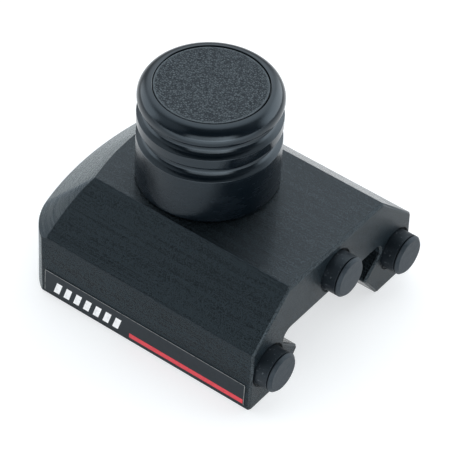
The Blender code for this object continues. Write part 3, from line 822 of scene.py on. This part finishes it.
class Nodes:
    """Builds one material's nodes."""

    def __init__(self, name, colour, roughness, metallic=0.0, level=0.5, tint=(1.0, 1.0, 1.0)):
        self.material = bpy.data.materials.new(name)
        self.material.use_nodes = True
        self.tree = self.material.node_tree
        self.shader = self.tree.nodes["Principled BSDF"]
        settings = {"Base Color": (*colour, 1.0), "Roughness": roughness, "Metallic": metallic,
                    "IOR": REFRACTION, "Specular IOR Level": level, "Specular Tint": (*tint, 1.0)}
        for socket, value in settings.items():
            self.shader.inputs[socket].default_value = value
        self.place = self.add("ShaderNodeTexCoord").outputs["Object"]

    def add(self, kind, **settings):
        node = self.tree.nodes.new(kind)
        for key, value in settings.items():
            setattr(node, key, value)
        return node

    def link(self, source, target):
        self.tree.links.new(source, target)

    def feed(self, socket, value):
        """Give a socket an output, a colour or a number."""
        if isinstance(value, bpy.types.NodeSocket):
            self.link(value, socket)
        else:
            socket.default_value = (*value, 1.0) if isinstance(value, tuple) else value

    def along(self, axis):
        """One of the object coordinates, in metres."""
        split = self.add("ShaderNodeSeparateXYZ")
        self.link(self.place, split.inputs[0])
        return split.outputs[axis]

    def rings(self):
        """Coordinates of a turned piece: its radius and its height, in metres."""
        flat = self.add("ShaderNodeVectorMath", operation="MULTIPLY")
        flat.inputs[1].default_value = (1.0, 1.0, 0.0)
        self.link(self.place, flat.inputs[0])
        length = self.add("ShaderNodeVectorMath", operation="LENGTH")
        self.link(flat.outputs["Vector"], length.inputs[0])
        joined = self.add("ShaderNodeCombineXYZ")
        self.link(length.outputs["Value"], joined.inputs["X"])
        self.link(self.along("Z"), joined.inputs["Z"])
        return joined.outputs["Vector"]

    def noise(self, *scale, detail=3.0, roughness=0.5, source=None):
        """Noise about 0.5. Its scale, one for all axes or one for each, is in cells a millimetre."""
        scale = scale * 3 if len(scale) == 1 else scale
        place = self.add("ShaderNodeMapping")
        place.inputs["Scale"].default_value = [part / MM for part in scale]
        self.link(source or self.place, place.inputs["Vector"])
        node = self.add("ShaderNodeTexNoise")
        node.inputs["Scale"].default_value = 1.0
        node.inputs["Detail"].default_value = detail
        node.inputs["Roughness"].default_value = roughness
        self.link(place.outputs["Vector"], node.inputs["Vector"])
        return node.outputs["Fac"]

    def fit(self, value, low, high, to_low=0.0, to_high=1.0):
        return map_range(self.tree, value, low, high, to_low, to_high)

    def blend(self, factor, first, second):
        """A colour between two, each a colour or an output."""
        node = self.add("ShaderNodeMix", data_type="RGBA")
        self.link(factor, node.inputs["Factor"])
        self.feed(node.inputs[6], first)
        self.feed(node.inputs[7], second)
        return node.outputs[2]

    def sum(self, first, second, weight):
        """first + weight * second, where first is an output or a number."""
        node = self.add("ShaderNodeMath", operation="MULTIPLY_ADD")
        self.link(second, node.inputs[0])
        node.inputs[1].default_value = weight
        self.feed(node.inputs[2], first)
        return node.outputs["Value"]

    def bump(self, height, depth):
        """Bump from a height in 0 to 1, with its depth in millimetres."""
        node = self.add("ShaderNodeBump")
        node.inputs["Strength"].default_value = 1.0
        node.inputs["Distance"].default_value = depth * MM
        self.link(height, node.inputs["Height"])
        self.link(node.outputs["Normal"], self.shader.inputs["Normal"])

    def colour(self, source):
        self.link(source, self.shader.inputs["Base Color"])

    def rough(self, source):
        self.link(source, self.shader.inputs["Roughness"])

    def shine(self, source):
        self.link(source, self.shader.inputs["Specular IOR Level"])


def tool_marks(n, stretch, streaks, roughness):
    """Grain and tool lines on a face, as one value from 0 to 1. They also set its bump and its roughness."""
    lines = n.noise(*stretch, detail=5.0, roughness=0.7)
    grain = n.noise(4.2, detail=1.0, roughness=0.7)
    middle = 0.5 * (1.0 + streaks)
    spread = 0.10 * math.sqrt(1.0 + streaks ** 2)
    marks = n.fit(n.sum(grain, lines, streaks), middle - spread, middle + spread)
    cloud = n.noise(0.08, roughness=0.55)
    n.rough(n.fit(n.sum(lines, cloud, 0.6), 0.5, 1.1, *roughness))
    n.bump(marks, 0.03)
    return marks


def anodised(name, stretch, streaks, light, level, roughness, tint):
    """Black anodised aluminium. Its marks lighten its colour and strengthen its shine."""
    n = Nodes(name, light, roughness[0], tint=tint)
    marks = tool_marks(n, stretch, streaks, roughness)
    n.colour(n.blend(marks, tuple(0.05 * part for part in light), light))
    n.shine(n.fit(marks, 0.0, 1.0, (1.0 - MARK_CONTRAST) * level, (1.0 + MARK_CONTRAST) * level))
    return n.material


def milled_bevel():
    """The milled back end: bright at a glance along it, with lines round it and, at each corner, a crease
    painted as a band of shade in its reflection.
    """
    n = Nodes("anodised_milled", (0.030, 0.036, 0.040), 0.26, metallic=1.0)
    marks = tool_marks(n, ROUND_THE_END, 1.8, (0.20, 0.32))
    n.colour(n.blend(marks, (0.022, 0.027, 0.031), (0.038, 0.044, 0.049)))
    corner_x, turn = bow_corner()
    run_x = math.sin(math.radians(turn))
    run_y = math.cos(math.radians(turn))
    start = (corner_x * run_x + BOW_CORNER_Y * run_y) * MM
    side = calculated(n.tree, "ABSOLUTE", n.along("Y"))
    past = n.sum(n.sum(-start, side, run_y), n.along("X"), run_x)
    # Painted shade: the reflection's tint darkens in a band past each end of the bow, where the smooth face
    # has no crease of its own
    painted_crease = calculated(n.tree, "MULTIPLY", n.fit(past, *PAINTED_CREASE_RISE), n.fit(past, *PAINTED_CREASE_FALL, 1.0, 0.0))
    crease_shade_and_marks = n.sum(painted_crease, marks, -0.90)
    glance = n.blend(n.fit(crease_shade_and_marks, -0.90, 1.0), (0.95, 0.995, 1.0), (0.66, 0.72, 0.77))
    n.link(glance, n.shader.inputs["Specular Tint"])
    return n.material


def edge_wear_and_highlight():
    # The edges' paler patches are partly wear and partly a painted highlight along the block's rounded edges
    n = Nodes("anodised_edge", (0.05, 0.055, 0.06), 0.35, level=0.30, tint=COOL)
    wear_and_highlight = n.fit(n.noise(0.9, detail=4.0, roughness=0.6), 0.45, 0.65)
    n.colour(n.blend(wear_and_highlight, (0.003, 0.006, 0.009), (0.018, 0.023, 0.028)))
    n.rough(n.fit(wear_and_highlight, 0.0, 1.0, 0.38, 0.28))
    n.bump(n.noise(3.0), 0.008)
    return n.material


def knob_black():
    """Glossy above, with turning rings and faint smears, and matter on the skirt under the grooves."""
    n = Nodes("knob_black", (0.002, 0.005, 0.008), 0.16, tint=COOL)
    rings = n.noise(3.5, roughness=0.6, source=n.rings())
    smear = n.noise(0.15, 0.15, 0.3, detail=4.0, roughness=0.6)
    n.colour(n.blend(n.fit(smear, 0.35, 0.7), (0.0012, 0.0032, 0.0055), (0.0030, 0.0055, 0.0085)))
    skirt_top = GROOVE_Z[1] - GROOVE_HALF
    matt = n.fit(n.along("Z"), (skirt_top - 0.6) * MM, skirt_top * MM, 1.0, 0.0)
    n.rough(n.sum(n.fit(n.sum(smear, rings, 0.35), 0.5, 0.85, 0.12, 0.18), matt, 0.11))
    n.shine(n.fit(matt, 0.0, 1.0, 0.49, 0.41))
    n.bump(n.sum(rings, n.noise(2.4, detail=2.0), 2.0), 0.004)
    return n.material


def insert_grain():
    """Matt plastic, speckled, with painted highlights on the tops of its grains and painted shade in the
    valleys between them.
    """
    n = Nodes("insert_grain", (0.008, 0.012, 0.016), 0.60, level=0.30, tint=COOL)
    low = INSERT_TOP_Z - GRAIN_DEPTH
    # Painted light: the colour gets lighter the higher the surface stands, with random speckle on top
    raised = n.fit(n.along("Z"), (low + 0.05 * GRAIN_DEPTH) * MM, (low + 0.60 * GRAIN_DEPTH) * MM)
    speckle = n.noise(3.4, detail=1.0)
    grain_light_and_speckle = n.fit(n.sum(raised, speckle, 1.2), 0.55, 1.65)
    n.colour(n.blend(grain_light_and_speckle, (0.003, 0.005, 0.008), (0.082, 0.098, 0.107)))
    n.rough(n.fit(speckle, 0.3, 0.7, 0.58, 0.38))
    n.bump(speckle, 0.12)
    return n.material


def rubber(name, dark, light, dust_low):
    """Mottled rubber with specks of dust."""
    n = Nodes(name, dark, 0.60, level=0.40, tint=COOL)
    mottle = n.noise(0.5, detail=4.0, roughness=0.6)
    grit = n.noise(3.5, detail=2.0)
    dust = n.fit(n.noise(2.0, detail=1.0), dust_low, dust_low + 0.06)
    base = n.blend(n.fit(n.sum(mottle, grit, 0.5), 0.55, 0.95), dark, light)
    n.colour(n.blend(dust, base, (0.07, 0.08, 0.09)))
    n.rough(n.fit(mottle, 0.3, 0.7, 0.45, 0.60))
    n.bump(n.sum(mottle, grit, 0.7), 0.06)
    return n.material


def label_film():
    n = Nodes("label_film", (0.005, 0.008, 0.011), 0.32, level=0.28, tint=COOL)
    fleck = n.noise(0.6, detail=4.0, roughness=0.6)
    n.colour(n.blend(n.fit(fleck, 0.3, 0.7), (0.004, 0.007, 0.010), (0.009, 0.012, 0.016)))
    n.rough(n.fit(fleck, 0.3, 0.7, 0.28, 0.40))
    n.bump(n.noise(1.6), 0.004)
    return n.material


def ink(name, colour, worn):
    """Print on the label, worn in patches."""
    n = Nodes(name, colour, 0.42)
    patch = n.noise(1.2, detail=4.0, roughness=0.6)
    n.colour(n.blend(n.fit(patch, 0.45, 0.75), colour, worn))
    n.rough(n.fit(patch, 0.3, 0.7, 0.36, 0.50))
    n.bump(n.noise(4.0), 0.003)
    return n.material


def steel(name, colour, worn, roughness):
    """Bare steel with turning rings and stains."""
    n = Nodes(name, colour, roughness[0], metallic=1.0)
    rings = n.noise(4.0, roughness=0.6, source=n.rings())
    stain = n.noise(0.35, detail=4.0, roughness=0.6)
    n.colour(n.blend(n.fit(stain, 0.4, 0.7), colour, worn))
    n.rough(n.fit(n.sum(stain, rings, 0.5), 0.55, 0.95, *roughness))
    n.bump(rings, 0.003)
    return n.material


def housing_black():
    """Black anodised aluminium as it comes from the lathe."""
    n = Nodes("housing_black", (0.005, 0.008, 0.011), 0.34, tint=COOL)
    rings = n.noise(2.8, roughness=0.6, source=n.rings())
    cloud = n.noise(0.2)
    n.colour(n.blend(n.fit(cloud, 0.3, 0.7), (0.004, 0.007, 0.010), (0.010, 0.014, 0.018)))
    n.rough(n.fit(n.sum(cloud, rings, 0.5), 0.5, 0.95, 0.26, 0.42))
    n.bump(rings, 0.006)
    return n.material


def bush_white():
    n = Nodes("bush_white", (0.66, 0.65, 0.60), 0.45)
    cloud = n.noise(0.5, detail=4.0, roughness=0.6)
    n.colour(n.blend(n.fit(cloud, 0.35, 0.75), (0.68, 0.67, 0.62), (0.50, 0.48, 0.43)))
    n.rough(n.fit(cloud, 0.3, 0.7, 0.38, 0.55))
    n.bump(n.noise(3.0), 0.01)
    return n.material


def make_materials():
    made = [anodised(*row) for row in ANODISED_FACES]
    made += [milled_bevel(), edge_wear_and_highlight(), knob_black(), insert_grain(), label_film(), housing_black(),
             bush_white(),
             rubber("rubber_base", (0.0015, 0.0035, 0.0060), (0.0045, 0.0070, 0.0100), 0.66),
             rubber("rubber_cap", (0.006, 0.010, 0.015), (0.021, 0.027, 0.033), 0.74),
             ink("label_line", (0.20, 0.21, 0.21), (0.015, 0.018, 0.020)),
             ink("label_red", (0.62, 0.030, 0.048), (0.50, 0.022, 0.036)),
             ink("label_white", (0.86, 0.87, 0.88), (0.68, 0.69, 0.70)),
             steel("stainless", (0.60, 0.60, 0.59), (0.48, 0.48, 0.47), (0.18, 0.34)),
             steel("spring_wire", (0.46, 0.46, 0.46), (0.30, 0.30, 0.30), (0.26, 0.42))]
    return {material.name: material for material in made}


def finish_cad_nodes():
    """Procedural materials for the small CAD pieces that stay."""
    for node, name in (("thrust_washer", "bush_white"), ("retaining_ring", "spring_wire"),
                       ("cross_pin", "stainless"), ("lock_washer", "spring_wire"),
                       ("knob_screw", "stainless")):
        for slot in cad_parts[node].material_slots:
            slot.material = MATERIALS[name]


# ---------------------------------------------------------------- studio

def toward(azimuth, elevation):
    """A direction from the object, by azimuth from the camera's side and by elevation."""
    turn = math.radians(CAMERA_AZIMUTH + azimuth)
    rise = math.radians(elevation)
    return Vector((math.sin(turn) * math.cos(rise), -math.cos(turn) * math.cos(rise), math.sin(rise)))


def make_camera():
    roll = math.radians(CAMERA_ROLL)
    azimuth = math.radians(CAMERA_AZIMUTH)
    right = Vector((math.cos(azimuth), math.sin(azimuth), 0.0))
    back = toward(0.0, CAMERA_ELEVATION)
    up = back.cross(right)
    tilted_right = right * math.cos(roll) + up * math.sin(roll)
    tilted_up = up * math.cos(roll) - right * math.sin(roll)
    place = Vector((KNOB_X, 0.0, 0.0)) + tilted_right * CAMERA_OFFSET[0] + tilted_up * CAMERA_OFFSET[1]
    place += back * CAMERA_DISTANCE
    data = bpy.data.cameras.new("camera")
    data.lens = CAMERA_LENS
    data.sensor_width = 36.0
    data.clip_start = 0.01
    camera = new_object("camera", data)
    camera.matrix_world = Matrix.Translation(place * MM) @ Matrix(
        (tilted_right, tilted_up, back)).transposed().to_4x4()
    bpy.context.scene.camera = camera


def make_floor():
    """Pale paper with a light of its own, which fades away from the object."""
    n = Nodes("studio_floor", (0.52, 0.52, 0.52), 0.7, level=0.0)
    n.colour(n.blend(n.noise(0.01), (0.51, 0.51, 0.51), (0.53, 0.53, 0.53)))
    n.shader.inputs["Emission Color"].default_value = PAPER_LIGHT
    away = n.add("ShaderNodeVectorMath", operation="LENGTH")
    n.link(n.place, away.inputs[0])
    ahead = n.add("ShaderNodeVectorMath", operation="DOT_PRODUCT")
    n.link(n.place, ahead.inputs[0])
    ahead.inputs[1].default_value = toward(POOL_AZIMUTH, 0.0)
    pool = n.fit(ahead.outputs["Value"], *POOL_FADE)
    n.link(n.sum(n.fit(away.outputs["Value"], *FLOOR_FADE), pool, 1.0), n.shader.inputs["Emission Strength"])
    bm = bmesh.new()
    bmesh.ops.create_grid(bm, x_segments=8, y_segments=8, size=FLOOR_HALF)
    mesh = bpy.data.meshes.new("studio_floor")
    bm.to_mesh(mesh)
    bm.free()
    floor = new_object("studio_floor", mesh)
    floor.location.z = -FLOOR_DROP
    mesh.materials.append(n.material)


def make_world():
    """A soft room: bright behind and at the sides near the horizon, dark where the camera stands."""
    world = bpy.data.worlds.new("studio")
    bpy.context.scene.world = world
    world.use_nodes = True
    tree = world.node_tree
    place = tree.nodes.new("ShaderNodeTexCoord").outputs["Generated"]

    def facing(azimuth, elevation, *fade):
        dot = tree.nodes.new("ShaderNodeVectorMath")
        dot.operation = "DOT_PRODUCT"
        dot.inputs[1].default_value = toward(azimuth, elevation)
        tree.links.new(place, dot.inputs[0])
        return map_range(tree, dot.outputs["Value"], *fade)

    total = facing(0.0, 0.0, *ROOM_FADE)
    for azimuth, elevation, outer, inner, radiance in SOFT_BOXES:
        edge = (math.cos(math.radians(outer)), math.cos(math.radians(inner)))
        total = calculated(tree, "ADD", total, facing(azimuth, elevation, *edge, 0.0, radiance))
    background = tree.nodes["Background"]
    tree.links.new(total, background.inputs["Strength"])
    background.inputs["Color"].default_value = DAYLIGHT


def make_card():
    """A low wide light in front of the object, below the camera's line of sight, soft towards its edges."""
    data = bpy.data.lights.new("front_card", "AREA")
    data.shape = "RECTANGLE"
    data.size, data.size_y = CARD_SIZE
    data.energy = CARD_RADIANCE * math.pi * data.size * data.size_y
    data.use_nodes = True
    tree = data.node_tree
    split = tree.nodes.new("ShaderNodeSeparateXYZ")
    tree.links.new(tree.nodes.new("ShaderNodeNewGeometry").outputs["Parametric"], split.inputs[0])
    fades = [map_range(tree, split.outputs[axis], *fade) for axis, *fade in CARD_FADES]
    strength = fades[0]
    for fade in fades[1:]:
        strength = calculated(tree, "MULTIPLY", strength, fade)
    tree.links.new(strength, tree.nodes["Emission"].inputs["Strength"])
    light = new_object("front_card", data)
    light.location = toward(CARD_AZIMUTH, 0.0) * CARD_DISTANCE + Vector((0.0, 0.0, data.size_y / 2))
    light.rotation_euler = (math.pi / 2, 0.0, math.radians(CAMERA_AZIMUTH + CARD_AZIMUTH))
    light.visible_camera = False


MATERIALS = make_materials()
make_camera()
make_floor()
make_world()
make_card()
make_body()
make_label("label_right", -1)
make_label("label_left", 1)
for bumper, (bumper_y, bumper_z) in BUMPER_PLACES.items():
    make_bumper(bumper, bumper_y, bumper_z)
make_knob()
make_insert()
make_pin()
make_housing()
make_bush()
make_spring()
finish_cad_nodes()
bpy.context.scene.view_settings.view_transform = "Standard"
